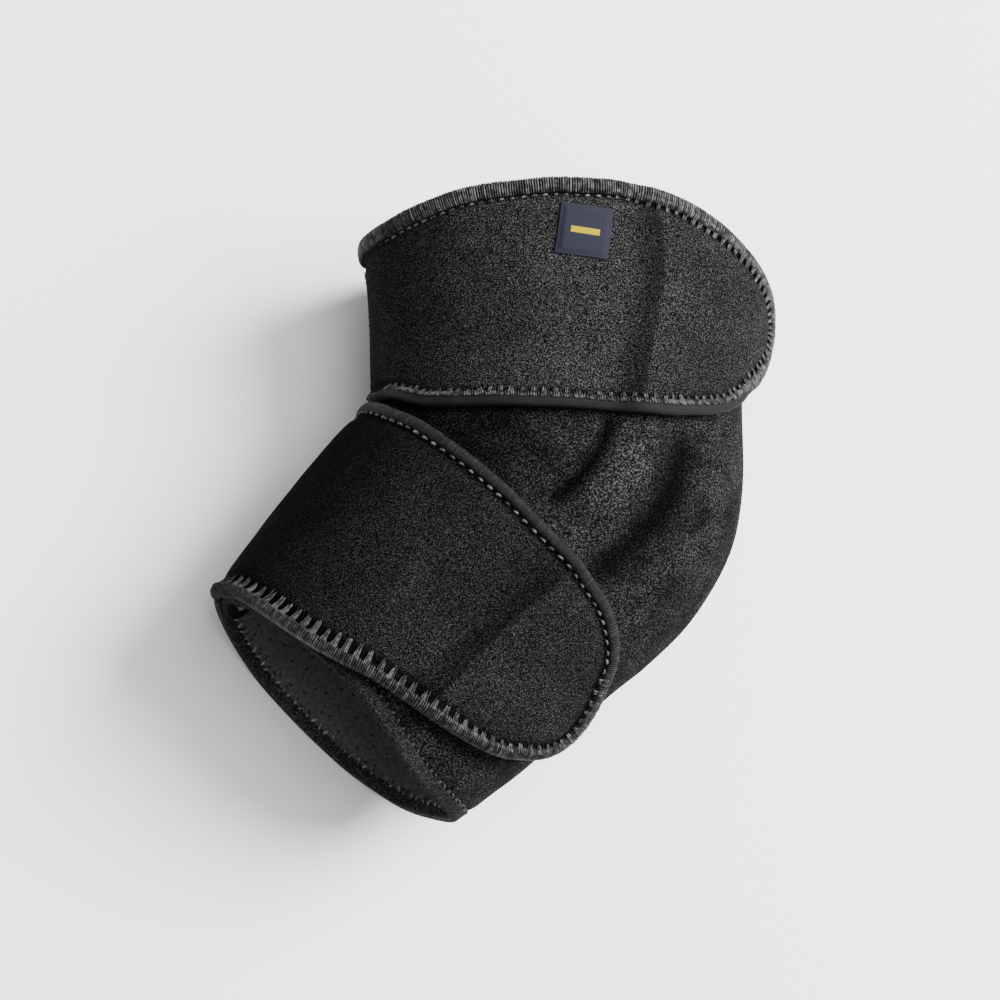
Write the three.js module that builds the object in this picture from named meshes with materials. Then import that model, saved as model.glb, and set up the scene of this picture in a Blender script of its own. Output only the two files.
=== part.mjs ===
// A wrap-around elbow brace of stretch neoprene, closed as round a bent arm and lying on its side.
// One panel goes once round the arm, from a free flap at the crook over the front, the elbow and
// the back. At its end two straps go on, one over the upper arm and one over the forearm. They lap
// the flap and grip it with hook pads. The notch between them shows the flap, with the raised
// channel of a side stay in it. Overlocked edging runs along every free edge.
//
// Millimetres and degrees. +Z is up, +Y runs up the upper arm, and the crook of the elbow is on the
// -X side. The origin is under the middle of the brace, on the surface that it lies on.
// Two numbers place a point on the cloth. "turn" is how far the panel has wrapped by then: 20 is
// at the crook, 110 on top, 200 at the point of the elbow, 290 underneath, and from 366 the straps
// lap the first turn. "along" is the length down the arm from the start of the elbow's bend.
import * as THREE from "three";

// Cloth
const WALL = 3.0; // neoprene with its two cloth faces
const LAYER_GAP = 0.6; // between two wrapped layers
const SEAM_GAP = 0.4; // between a panel's cut edge and the edging or strap beside it
const EDGING_WIDTH = 4.6;
const EDGING_RISE = 0.9; // how far the overlocking stands above the cloth
const HOOK_THICKNESS = 1.4;
const LABEL_THICKNESS = 0.6;

// Arm: the space that the brace is shaped for
const BEND = 44; // turn from the upper arm to the forearm
const UPPER_LENGTH = 58;
const FOREARM_LENGTH = 74;
const ELBOW_WIDTH = 104; // crook to elbow point, inside
const ELBOW_DEPTH = 79; // front to back, inside
const CROOK_CLEARANCE = 1.2; // from the bend's centre line to the outermost cloth at the crook

// Wrap
const FLAP_TURN = -14; // the flap's free edge, tucked in at the crook
const SEAM_TURN = 366; // the panel's end, where the straps begin
const UPPER_STRAP_TURN = 182;
const FOREARM_STRAP_TURN = 172;
const LAP_START = 140; // from here to LAP_END the panel climbs one layer, to lap its own flap
const LAP_END = 290;
const FLAP_CORNER = 9;
const TAB_START = 0.65; // share of a strap where its rounded tab begins
const TAB_FLARE = 0.6; // how far a tab's tip stands off
const HOOK_TURN = 488; // the straight inner edge of the hook pads
const HOOK_STEP = 8; // turn in which a strap climbs over its hook pad
const HOOK_LEVEL = 2.5; // turn that it then runs level before the pad's edge
const HOOK_MARGIN = 2; // hook pad to the strap's edging

// Resting side, pressed flat by its own weight
const SINK = 3; // how far the round section would reach below the surface
const FLAT_BLEND = 1.2; // height in which the flat runs into the round

// Label
const LABEL_WIDTH = 15.5;
const LABEL_HEIGHT = 14;
const LABEL_TURN = 466; // where its middle is
const LABEL_DROP = 8.2; // its top edge below the strap's edge
const LABEL_ANGLE = 8; // its right end lies lower

// Facets
const PANEL_STEPS = 60;
const STRAP_STEPS = 19;
const TAB_STEPS = 10;
const STRAP_ROWS = 10;
const CORNER_STEPS = 3;
const WALK_STEP = 0.15; // most turn or length in one step over the cloth

const rad = THREE.MathUtils.degToRad;
const ease = (x) => THREE.MathUtils.smoothstep(x, 0, 1);
const LAYER = WALL + LAYER_GAP;
const CROOK_RADIUS = CROOK_CLEARANCE + LAYER + WALL + EDGING_RISE;
const MIDDLE_RADIUS = CROOK_RADIUS + ELBOW_WIDTH / 2;
const ELBOW_LENGTH = rad(BEND) * MIDDLE_RADIUS;
const CUFF = ELBOW_LENGTH + FOREARM_LENGTH;
const HOOK_LIFT = HOOK_THICKNESS + LAYER_GAP;
const FULL_TURN = 360;
const CROOK_SIDE = 200; // the section angle at turn 0, where 180 faces the crook and 90 faces up

// Sections of the arm: place, lean of the crook side, and shares of ELBOW_WIDTH and ELBOW_DEPTH
const SECTIONS = [
  { along: -UPPER_LENGTH, lean: -0.113 * UPPER_LENGTH, width: 1.02, depth: 1.05 },
  { along: -0.5 * UPPER_LENGTH, lean: -0.02 * UPPER_LENGTH, width: 1.043, depth: 1.03 },
  { along: 0, lean: 0, width: 1.004, depth: 1.0 },
  { along: 0.5 * ELBOW_LENGTH, lean: 0, width: 1.046, depth: 1.02 },
  { along: 0.75 * ELBOW_LENGTH, lean: 0, width: 1.035, depth: 1.02 },
  { along: ELBOW_LENGTH, lean: 0, width: 1.009, depth: 1.0 },
  { along: ELBOW_LENGTH + 0.22 * FOREARM_LENGTH, lean: 0.005 * FOREARM_LENGTH, width: 0.988, depth: 0.98 },
  { along: ELBOW_LENGTH + 0.55 * FOREARM_LENGTH, lean: 0.035 * FOREARM_LENGTH, width: 0.947, depth: 0.94 },
  { along: CUFF, lean: 0.097 * FOREARM_LENGTH, width: 0.856, depth: 0.87 },
];

// The panel's top edge above the bend, as a share of UPPER_LENGTH, and its bottom edge beyond the
// cuff's plane, as a share of FOREARM_LENGTH
const TOP_RIM = [
  { at: FLAP_TURN, share: 0.76 },
  { at: 50, share: 0.8 },
  { at: 110, share: 0.9 },
  { at: 150, share: 0.78 },
  { at: 195, share: 0.62 },
  { at: 240, share: 0.72 },
  { at: 290, share: 0.84 },
  { at: SEAM_TURN, share: 0.78 },
];
const BOTTOM_RIM = [
  { at: FLAP_TURN, share: 0 },
  { at: 30, share: 0 },
  { at: 100, share: -0.027 },
  { at: 150, share: 0.028 },
  { at: 205, share: -0.025 },
  { at: 245, share: 0.03 },
  { at: 290, share: 0.06 },
  { at: SEAM_TURN, share: 0 },
];

// The straps' edges before the tab is rounded, at shares of a strap's turn. The upper strap's top
// is a share of UPPER_LENGTH above the bend, and its bottom a share of ELBOW_LENGTH into the bend.
// The forearm strap's edges are shares of FOREARM_LENGTH below the bend.
const UPPER_EDGES = [
  { at: 0.0, top: 0.78, bottom: 0.6 },
  { at: 0.05, top: 0.8, bottom: 0.64 },
  { at: 0.14, top: 0.826, bottom: 0.72 },
  { at: 0.2, top: 0.852, bottom: 0.76 },
  { at: 0.25, top: 0.884, bottom: 0.73 },
  { at: 0.3, top: 0.916, bottom: 0.58 },
  { at: 0.37, top: 0.96, bottom: 0.39 },
  { at: 0.455, top: 0.99, bottom: 0.28 },
  { at: 0.535, top: 1.01, bottom: 0.22 },
  { at: 0.61, top: 1.01, bottom: 0.19 },
  { at: 0.68, top: 0.987, bottom: 0.166 },
  { at: 0.74, top: 0.964, bottom: 0.152 },
  { at: 0.8, top: 0.934, bottom: 0.16 },
  { at: 0.86, top: 0.902, bottom: 0.168 },
  { at: 1.0, top: 0.862, bottom: 0.13 },
];
const FOREARM_EDGES = [
  { at: 0.0, top: 0.022, bottom: 1.0 },
  { at: 0.14, top: 0.024, bottom: 1.012 },
  { at: 0.22, top: 0.024, bottom: 0.998 },
  { at: 0.3, top: 0.014, bottom: 0.994 },
  { at: 0.38, top: 0.01, bottom: 0.989 },
  { at: 0.46, top: 0.004, bottom: 0.972 },
  { at: 0.525, top: 0.002, bottom: 0.943 },
  { at: 0.585, top: 0.008, bottom: 0.908 },
  { at: 0.65, top: 0.012, bottom: 0.881 },
  { at: 0.715, top: 0.012, bottom: 0.862 },
  { at: 0.8, top: -0.004, bottom: 0.849 },
  { at: 0.89, top: 0.006, bottom: 0.844 },
  { at: 0.95, top: 0.07, bottom: 0.82 },
  { at: 1.0, top: 0.098, bottom: 0.828 },
];

// Folds of the cloth at the elbow: each is a ridge, or a groove where its height is negative, from
// one point to another. "from" and "to" are [turn, share of ELBOW_LENGTH], and half is half its
// width and height its height, both as shares of WALL.
const FOLDS = [
  { name: "stay channel", from: [125, -0.05], to: [121, 1.2], half: 2.9, height: 0.8 },
  { name: "front seam", from: [111, 0.34], to: [107, 0.84], half: 1.2, height: -0.4 },
  { name: "back valley", from: [139, 0.36], to: [135, 0.8], half: 2.1, height: -0.45 },
  { name: "crook pleat", from: [84, 0.48], to: [103, 0.6], half: 1.3, height: 0.22 },
];
const FOLD_REACH = 3; // half widths at which a fold has died away
const TURN_LENGTH = (Math.PI * (ELBOW_WIDTH + ELBOW_DEPTH)) / 2 / FULL_TURN; // one degree of turn

// A smooth curve through a table's rows that doesn't overshoot them
function read(table, key, column, x) {
  const last = table.length - 1;
  if (x <= table[0][key]) return table[0][column];
  if (x >= table[last][key]) return table[last][column];
  const step = (i) => table[i + 1][key] - table[i][key];
  const slope = (i) => (table[i + 1][column] - table[i][column]) / step(i);
  const tangent = (i) => {
    if (i === 0) return slope(0);
    if (i === last) return slope(last - 1);
    const [before, after] = [slope(i - 1), slope(i)];
    if (before * after <= 0) return 0;
    return (step(i - 1) + step(i)) / (step(i) / before + step(i - 1) / after);
  };
  let i = 0;
  while (x > table[i + 1][key]) i++;
  const h = step(i);
  const u = (x - table[i][key]) / h;
  const rise = table[i + 1][column] - table[i][column];
  const blend = u * u * (3 - 2 * u);
  const ends = u * (1 - u) ** 2 * h * tangent(i) + u * u * (u - 1) * h * tangent(i + 1);
  return table[i][column] + rise * blend + ends;
}

// Height of the folds at a place on the cloth. Every layer there follows them.
function foldHeight(turn, along) {
  const near = turn > LAP_END ? turn - FULL_TURN : turn;
  const place = new THREE.Vector2(near * TURN_LENGTH, along);
  let height = 0;
  for (const fold of FOLDS) {
    const a = new THREE.Vector2(fold.from[0] * TURN_LENGTH, fold.from[1] * ELBOW_LENGTH);
    const b = new THREE.Vector2(fold.to[0] * TURN_LENGTH, fold.to[1] * ELBOW_LENGTH);
    const run = b.clone().sub(a);
    const share = THREE.MathUtils.clamp(place.clone().sub(a).dot(run) / run.lengthSq(), 0, 1);
    const distance = place.distanceTo(a.addScaledVector(run, share)) / (fold.half * WALL);
    if (distance < FOLD_REACH) height += fold.height * WALL * Math.exp(-distance * distance);
  }
  return height;
}

// Where a layer's inner face lies above the arm: the panel climbs one layer in its first turn, and
// a strap that goes on lies one layer above whatever it laps
function layerHeight(turn) {
  const climb = (t) => LAYER * ease((t - LAP_START) / (LAP_END - LAP_START));
  const straps = SEAM_TURN + LAP_START / 2;
  return turn < straps ? climb(turn) : LAYER + climb(turn - FULL_TURN);
}

// Heights below a small blend become the flat resting face
function settle(z) {
  if (z <= -FLAT_BLEND) return 0;
  if (z >= FLAT_BLEND) return z;
  return (z + FLAT_BLEND) ** 2 / (4 * FLAT_BLEND);
}

// A point on the cloth, "lift" above its inner face
function skin(turn, along, lift) {
  const angle = rad(CROOK_SIDE - turn);
  const a = (read(SECTIONS, "along", "width", along) * ELBOW_WIDTH) / 2;
  const b = (read(SECTIONS, "along", "depth", along) * ELBOW_DEPTH) / 2;
  const bend = rad(BEND) * THREE.MathUtils.clamp(along / ELBOW_LENGTH, 0, 1);
  const across = new THREE.Vector3(Math.cos(bend), -Math.sin(bend), 0);
  const down = new THREE.Vector3(-Math.sin(bend), -Math.cos(bend), 0);
  const straight = along - THREE.MathUtils.clamp(along, 0, ELBOW_LENGTH);
  const outward = new THREE.Vector2(Math.cos(angle) / a, Math.sin(angle) / b).normalize();
  const height = layerHeight(turn) + foldHeight(turn, along) + lift;
  const reach = CROOK_RADIUS + read(SECTIONS, "along", "lean", along) + a;
  const side = reach + a * Math.cos(angle) + outward.x * height;
  let z = LAYER + WALL - SINK + b + b * Math.sin(angle) + outward.y * height;
  if (Math.sin(angle) < 0) z = settle(z - WALL + lift) + WALL - lift;
  return across.multiplyScalar(side).addScaledVector(down, straight).setZ(z);
}

// The cloth's two tangents and its outward normal at a place
function frameAt(turn, along, lift) {
  const small = 0.05;
  const at = skin(turn, along, lift);
  const byTurn = skin(turn + small, along, lift).sub(at).divideScalar(small);
  const byAlong = skin(turn, along + small, lift).sub(at).divideScalar(small);
  const normal = byAlong.clone().cross(byTurn).normalize();
  return { at, byTurn, byAlong, normal };
}

// The place reached by going a real distance over the cloth, in the direction of a space vector
function walk(place, direction, distance) {
  let { turn, along } = place;
  let left = distance;
  while (left > 0) {
    const { byTurn, byAlong } = frameAt(turn, along, WALL / 2);
    const [tt, aa, ta] = [byTurn.lengthSq(), byAlong.lengthSq(), byTurn.dot(byAlong)];
    const [dt, da] = [direction.dot(byTurn), direction.dot(byAlong)];
    const turnRate = (dt * aa - da * ta) / (tt * aa - ta * ta);
    const alongRate = (da * tt - dt * ta) / (tt * aa - ta * ta);
    const step = Math.min(left, WALK_STEP / Math.max(Math.abs(turnRate), Math.abs(alongRate)));
    turn += turnRate * step;
    along += alongRate * step;
    left -= step;
  }
  return { turn, along };
}

// Each place of an outline moved in from its edge. The cloth lies left of the outline's run, and
// the outline's two ends stay at the seam.
function inset(outline, distance) {
  const last = outline.length - 1;
  return outline.map((place, i) => {
    const before = outline[Math.max(i - 1, 0)];
    const after = outline[Math.min(i + 1, last)];
    const { normal } = frameAt(place.turn, place.along, WALL / 2);
    const run = skin(after.turn, after.along, WALL / 2).sub(skin(before.turn, before.along, WALL / 2));
    const moved = walk(place, normal.clone().cross(run).normalize(), distance);
    return i === 0 || i === last ? { turn: place.turn, along: moved.along } : moved;
  });
}

// A closed solid from its triangles' corners, with flat triangles left out
function solidOf(name, triangles, material) {
  const corners = [];
  for (const [a, b, c] of triangles) {
    const area = b.clone().sub(a).cross(c.clone().sub(a)).length();
    const sides = [a.distanceTo(b), b.distanceTo(c), c.distanceTo(a)];
    if (area > 0 && Math.min(...sides) > 1e-4) corners.push(...a, ...b, ...c);
  }
  const geometry = new THREE.BufferGeometry();
  geometry.setAttribute("position", new THREE.Float32BufferAttribute(corners, 3));
  geometry.computeVertexNormals();
  const mesh = new THREE.Mesh(geometry, material);
  mesh.name = name;
  return mesh;
}

const quad = (a, b, c, d) => [
  [a, b, c],
  [a, c, d],
];

// A wall of cloth over a grid of places, between two lifts given by functions of the place. The
// columns run with the turn and each one's rows run down the arm.
function wallOver(name, columns, innerLift, outerLift, material) {
  const raise = (lift) => columns.map((column) => column.map((p) => skin(p.turn, p.along, lift(p))));
  const [inner, outer] = [raise(innerLift), raise(outerLift)];
  const [lastColumn, lastRow] = [columns.length - 1, columns[0].length - 1];
  const triangles = [];
  for (let i = 0; i < lastColumn; i++) {
    for (let j = 0; j < lastRow; j++) {
      triangles.push(...quad(outer[i][j], outer[i][j + 1], outer[i + 1][j + 1], outer[i + 1][j]));
      triangles.push(...quad(inner[i][j], inner[i + 1][j], inner[i + 1][j + 1], inner[i][j + 1]));
    }
    triangles.push(...quad(inner[i][0], outer[i][0], outer[i + 1][0], inner[i + 1][0]));
    const [a, b] = [inner[i][lastRow], inner[i + 1][lastRow]];
    triangles.push(...quad(b, outer[i + 1][lastRow], outer[i][lastRow], a));
  }
  for (let j = 0; j < lastRow; j++) {
    triangles.push(...quad(inner[0][j], inner[0][j + 1], outer[0][j + 1], outer[0][j]));
    const [a, b] = [inner[lastColumn][j], inner[lastColumn][j + 1]];
    triangles.push(...quad(a, outer[lastColumn][j], outer[lastColumn][j + 1], b));
  }
  return solidOf(name, triangles, material);
}

// Overlocked edging along an outline. Its section runs from the cut edge in over the cloth, and
// stands a little above the cloth's outer face.
function edgingAlong(name, outline, rise, stripLift, material) {
  const full = WALL + rise;
  const section = [
    { inset: 0.22 * EDGING_WIDTH, lift: 0 },
    { inset: 0, lift: 0.3 * full },
    { inset: 0, lift: 0.68 * full },
    { inset: 0.26 * EDGING_WIDTH, lift: full },
    { inset: 0.75 * EDGING_WIDTH, lift: full },
    { inset: EDGING_WIDTH, lift: WALL - 0.2 * rise },
    { inset: EDGING_WIDTH, lift: 0 },
  ];
  const strips = section.map((corner) =>
    inset(outline, corner.inset).map((p) => skin(p.turn, p.along, corner.lift + stripLift(p))),
  );
  const count = strips.length;
  const triangles = [];
  for (let i = 0; i < outline.length - 1; i++) {
    for (let k = 0; k < count; k++) {
      const [here, next] = [strips[k], strips[(k + 1) % count]];
      triangles.push(...quad(here[i], here[i + 1], next[i + 1], next[i]));
    }
  }
  const end = outline.length - 1;
  for (let k = 1; k < count - 1; k++) {
    triangles.push([strips[0][0], strips[k][0], strips[k + 1][0]]);
    triangles.push([strips[0][end], strips[k + 1][end], strips[k][end]]);
  }
  return solidOf(name, triangles, material);
}

// Columns of places from one edge line to another, with rows spaced evenly between them
function columnsBetween(tops, bottoms, rows) {
  return tops.map((top, i) =>
    rows.map((share) => ({
      turn: THREE.MathUtils.lerp(top.turn, bottoms[i].turn, share),
      along: THREE.MathUtils.lerp(top.along, bottoms[i].along, share),
    })),
  );
}

const evenRows = (count) => Array.from({ length: count + 1 }, (_, i) => i / count);

// The panel's rows: close together round the bend, where the crook needs them
function panelRows(top) {
  const bendShares = [0, 0.1, 0.2, 0.33, 0.5, 0.67, 0.83, 1, 1.15];
  const places = [0.55 * top, 0.3 * top, 0.18 * top, 0.08 * top];
  places.push(...bendShares.map((share) => share * ELBOW_LENGTH));
  places.push(...[0.35, 0.55, 0.75, 0.9].map((share) => ELBOW_LENGTH + share * FOREARM_LENGTH));
  return [0, ...places.map((along) => (along - top) / (CUFF - top)), 1];
}

const topRim = (turn) => -UPPER_LENGTH * read(TOP_RIM, "at", "share", turn);
const bottomRim = (turn) => CUFF + FOREARM_LENGTH * read(BOTTOM_RIM, "at", "share", turn);

// The panel's two long edges, from the seam back to the flap's free edge with its rounded corners
function panelEdges() {
  const tops = [];
  const bottoms = [];
  const corner = FLAP_CORNER / TURN_LENGTH;
  for (let i = 0; i <= PANEL_STEPS; i++) {
    const turn = THREE.MathUtils.lerp(SEAM_TURN, FLAP_TURN + corner, i / PANEL_STEPS);
    tops.push({ turn, along: topRim(turn) });
    bottoms.push({ turn, along: bottomRim(turn) });
  }
  for (let i = 1; i <= CORNER_STEPS; i++) {
    const angle = ((Math.PI / 2) * i) / CORNER_STEPS;
    const turn = FLAP_TURN + corner * (1 - Math.sin(angle));
    const drop = FLAP_CORNER * (1 - Math.cos(angle));
    tops.push({ turn, along: topRim(turn) + drop });
    bottoms.push({ turn, along: bottomRim(turn) - drop });
  }
  return { tops, bottoms };
}

// A strap's two edges, from the seam to the tip where they meet
function strapEdges(table, turnLength, edgeAt) {
  const hooks = (HOOK_TURN - SEAM_TURN) / turnLength;
  const level = hooks - HOOK_LEVEL / turnLength;
  const climb = level - HOOK_STEP / turnLength;
  const shares = [];
  for (let i = 0; i <= STRAP_STEPS; i++) shares.push((climb * i) / STRAP_STEPS);
  shares.push(level);
  for (let i = 0; i <= TAB_STEPS; i++) {
    shares.push(hooks + (1 - hooks) * Math.sin(((Math.PI / 2) * i) / TAB_STEPS));
  }
  const seamShare = SEAM_GAP / TURN_LENGTH / turnLength;
  const edge = (share, side) => {
    const top = edgeAt(read(table, "at", "top", share), "top");
    const bottom = edgeAt(read(table, "at", "bottom", share), "bottom");
    const tab = THREE.MathUtils.clamp((share - TAB_START) / (1 - TAB_START), 0, 1);
    const half = ((bottom - top) / 2) * Math.sqrt(1 - tab * tab);
    const turn = SEAM_TURN + turnLength * Math.max(share, seamShare);
    return { turn, along: (top + bottom) / 2 + side * half };
  };
  return { tops: shares.map((s) => edge(s, -1)), bottoms: shares.map((s) => edge(s, 1)) };
}

// How far a strap stands above its layer: over the hook pad, and more towards the tab's tip
function tabLift(tip) {
  return ({ turn }) => {
    const pad = HOOK_LIFT * ease((turn - HOOK_TURN + HOOK_LEVEL + HOOK_STEP) / HOOK_STEP);
    return pad + TAB_FLARE * ease((turn - HOOK_TURN) / (tip - HOOK_TURN));
  };
}

// One strap with its edging and its hook pad
function strap(name, edges, tip, materials) {
  const outline = [...edges.bottoms, ...[...edges.tops].reverse().slice(1)];
  const lift = tabLift(tip);
  const split = (distance) => {
    const line = inset(outline, distance);
    const count = edges.tops.length;
    return { tops: line.slice(count - 1).reverse(), bottoms: line.slice(0, count) };
  };
  const cloth = split(EDGING_WIDTH + SEAM_GAP);
  const columns = columnsBetween(cloth.tops, cloth.bottoms, evenRows(STRAP_ROWS));
  const body = wallOver(name, columns, lift, (p) => WALL + lift(p), materials.cloth);
  const edging = edgingAlong(name + "_edging", outline, EDGING_RISE, lift, materials.thread);

  const pad = split(EDGING_WIDTH + HOOK_MARGIN);
  const first = pad.tops.findIndex((p) => p.turn > HOOK_TURN + HOOK_LEVEL);
  const cut = (line) => {
    const [a, b] = [line[first - 1], line[first]];
    const share = (HOOK_TURN - a.turn) / (b.turn - a.turn);
    const start = { turn: HOOK_TURN, along: THREE.MathUtils.lerp(a.along, b.along, share) };
    return [start, ...line.slice(first)];
  };
  const padColumns = columnsBetween(cut(pad.tops), cut(pad.bottoms), evenRows(STRAP_ROWS / 2));
  const stand = (p) => lift(p) - HOOK_LIFT;
  const padTop = (p) => lift(p) - LAYER_GAP;
  const hooks = wallOver(name + "_hook_pad", padColumns, stand, padTop, materials.hook);
  return [body, edging, hooks];
}

// A small woven label, flat on the upper strap below its top edging
function label(edgeTop, lift, material) {
  const middle = edgeTop + LABEL_DROP + LABEL_HEIGHT / 2;
  const { byTurn, byAlong } = frameAt(LABEL_TURN, middle, WALL);
  const tilt = rad(LABEL_ANGLE);
  const columns = evenRows(4).map((share) =>
    evenRows(3).map((row) => {
      const [u, v] = [LABEL_WIDTH * (share - 0.5), LABEL_HEIGHT * (row - 0.5)];
      return {
        turn: LABEL_TURN + (u * Math.cos(tilt) - v * Math.sin(tilt)) / byTurn.length(),
        along: middle + (v * Math.cos(tilt) + u * Math.sin(tilt)) / byAlong.length(),
      };
    }),
  );
  const bottom = (p) => WALL + LAYER_GAP + lift(p);
  return wallOver("label", columns, bottom, (p) => bottom(p) + LABEL_THICKNESS, material);
}

const standard = (color, roughness) => new THREE.MeshStandardMaterial({ color, roughness, metalness: 0 });
const MATERIALS = {
  cloth: standard(0x17171a, 0.95),
  thread: standard(0x2b2b2e, 0.7),
  hook: standard(0x101012, 0.8),
  label: standard(0x3a3a48, 0.85),
};

function brace() {
  const group = new THREE.Group();
  const panel = panelEdges();
  const count = panel.tops.length;
  const freeEdge = columnsBetween(
    [panel.tops[count - 1]],
    [panel.bottoms[count - 1]],
    evenRows(10),
  )[0].slice(1, -1);
  const outline = [...panel.tops, ...freeEdge, ...[...panel.bottoms].reverse()];
  const line = inset(outline, EDGING_WIDTH + SEAM_GAP);
  const tops = line.slice(0, count);
  const bottoms = line.slice(-count).reverse();
  const columns = tops.map((top, i) => columnsBetween([top], [bottoms[i]], panelRows(top.along))[0]);
  columns.reverse();
  const none = () => 0;
  group.add(wallOver("sleeve", columns, none, () => WALL, MATERIALS.cloth));
  group.add(edgingAlong("sleeve_edging", outline, 0, none, MATERIALS.thread));

  const upperEdges = strapEdges(UPPER_EDGES, UPPER_STRAP_TURN, (share, side) =>
    side === "top" ? -UPPER_LENGTH * share : ELBOW_LENGTH * share,
  );
  const upperTip = SEAM_TURN + UPPER_STRAP_TURN;
  group.add(...strap("upper_strap", upperEdges, upperTip, MATERIALS));

  const forearmEdges = strapEdges(
    FOREARM_EDGES,
    FOREARM_STRAP_TURN,
    (share) => ELBOW_LENGTH + FOREARM_LENGTH * share,
  );
  const forearmTip = SEAM_TURN + FOREARM_STRAP_TURN;
  group.add(...strap("forearm_strap", forearmEdges, forearmTip, MATERIALS));

  const labelShare = (LABEL_TURN - SEAM_TURN) / UPPER_STRAP_TURN;
  const edgeTop = -UPPER_LENGTH * read(UPPER_EDGES, "at", "top", labelShare);
  group.add(label(edgeTop, tabLift(upperTip), MATERIALS.label));

  const box = new THREE.Box3().setFromObject(group);
  const centre = box.getCenter(new THREE.Vector3());
  group.children.forEach((mesh) => mesh.geometry.translate(-centre.x, -centre.y, -box.min.z));
  return group;
}

export default brace();
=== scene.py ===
"""An elbow brace of black stretch neoprene, closed as on a bent arm and lying on a pale floor.

Every piece follows one surface. "turn" is how far the cloth has wrapped, in degrees: 20 is at the
crook, 110 on top, 200 at the elbow's point, 290 underneath, and from 366 the straps lap the first
turn. "along" is the length down the arm from the start of the elbow's bend, in millimetres.
"""
import math
from collections import namedtuple

import bpy
import numpy as np
from mathutils import Matrix, Vector


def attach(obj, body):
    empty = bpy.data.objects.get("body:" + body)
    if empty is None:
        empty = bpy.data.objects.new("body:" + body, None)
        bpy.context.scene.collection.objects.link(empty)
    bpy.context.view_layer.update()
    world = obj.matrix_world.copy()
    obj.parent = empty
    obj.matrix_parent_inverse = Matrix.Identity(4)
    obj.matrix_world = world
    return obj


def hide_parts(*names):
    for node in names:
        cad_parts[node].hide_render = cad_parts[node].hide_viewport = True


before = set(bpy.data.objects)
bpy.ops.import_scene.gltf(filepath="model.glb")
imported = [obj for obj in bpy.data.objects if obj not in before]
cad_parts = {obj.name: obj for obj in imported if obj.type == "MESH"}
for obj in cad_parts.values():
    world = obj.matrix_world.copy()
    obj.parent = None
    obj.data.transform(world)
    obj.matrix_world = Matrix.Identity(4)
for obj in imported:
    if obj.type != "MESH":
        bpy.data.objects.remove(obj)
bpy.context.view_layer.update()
MM = 0.001
FULL_TURN = 360

# Cloth, in millimetres
WALL = 3.0
LAYER_GAP = 0.6
SEAM_GAP = 0.4
EDGING_WIDTH = 4.6
EDGING_RISE = 0.9
HOOK_THICKNESS = 1.4
LABEL_THICKNESS = 0.6

# The arm that the brace is shaped for, in millimetres and degrees
BEND = 44
UPPER_LENGTH = 58
FOREARM_LENGTH = 74
ELBOW_WIDTH = 104
ELBOW_DEPTH = 79
CROOK_CLEARANCE = 1.2
CROOK_SIDE = 200  # the section's angle at turn 0, where 180 faces the crook and 90 faces up
CENTRE = np.array([39.8716, -34.3681, 0.0])  # the middle of the brace, from the bend's centre

# The wrap, in degrees of turn unless a comment says otherwise
FLAP_TURN = -14
SEAM_TURN = 366
UPPER_STRAP_TURN = 182
FOREARM_STRAP_TURN = 172
LAP_START = 140
LAP_END = 290
FLAP_CORNER = 9  # millimetres
TAB_START = 0.65  # share of a strap where its rounded tab begins
TAB_FLARE = 0.6  # millimetres that a tab's tip stands off
HOOK_TURN = 488
HOOK_STEP = 8
HOOK_LEVEL = 2.5
HOOK_MARGIN = 2  # millimetres
HOOK_MIDDLE = -19.6  # where along the arm a slanted hook line crosses HOOK_TURN

# The resting side, pressed flat, in millimetres
SINK = 3
FLAT_BLEND = 1.2

# The label, in millimetres and degrees
LABEL_WIDTH = 15.5
LABEL_HEIGHT = 15
LABEL_TURN = 466
LABEL_DROP = 8.2
LABEL_ANGLE = 6
LABEL_LINE = 0.25  # depth of the line pressed in along the label's rim
LABEL_LINE_AT = 0.9
LABEL_LINE_WIDTH = 0.35
LABEL_TUCK = 1.5  # width of the rim that bends down to the strap

# Steps of the edges and of the grids
PANEL_STEPS = 230
FREE_STEPS = 80
CORNER_STEPS = 14
STRAP_STEPS = 110
TAB_STEPS = 80
HOOK_STEPS = 60
PANEL_ROWS = 110
STRAP_ROWS = 70
HOOK_ROWS = 30
LABEL_STEPS = 30
LABEL_ROWS = 28

LAYER = WALL + LAYER_GAP
CROOK_RADIUS = CROOK_CLEARANCE + LAYER + WALL + EDGING_RISE
MIDDLE_RADIUS = CROOK_RADIUS + ELBOW_WIDTH / 2
ELBOW_LENGTH = math.radians(BEND) * MIDDLE_RADIUS
CUFF = ELBOW_LENGTH + FOREARM_LENGTH
HOOK_LIFT = HOOK_THICKNESS + LAYER_GAP
TURN_LENGTH = math.pi * (ELBOW_WIDTH + ELBOW_DEPTH) / 2 / FULL_TURN


def table(names, rows):
    """The columns of a table by their names. Its first column says where each row stands."""
    return dict(zip(names.split(), np.array(rows, float).T))


# Sections of the arm: lean of the crook side, and shares of the elbow's width and depth
SECTIONS = table("along lean width depth", [
    (-UPPER_LENGTH, -0.113 * UPPER_LENGTH, 1.02, 1.05),
    (-0.5 * UPPER_LENGTH, -0.02 * UPPER_LENGTH, 1.043, 1.03),
    (0, 0, 1.004, 1.0),
    (0.5 * ELBOW_LENGTH, 0, 1.046, 1.02),
    (0.75 * ELBOW_LENGTH, 0, 1.035, 1.02),
    (ELBOW_LENGTH, 0, 1.009, 1.0),
    (ELBOW_LENGTH + 0.22 * FOREARM_LENGTH, 0.005 * FOREARM_LENGTH, 0.988, 0.98),
    (ELBOW_LENGTH + 0.55 * FOREARM_LENGTH, 0.035 * FOREARM_LENGTH, 0.947, 0.94),
    (CUFF, 0.097 * FOREARM_LENGTH, 0.856, 0.87),
])

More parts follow.
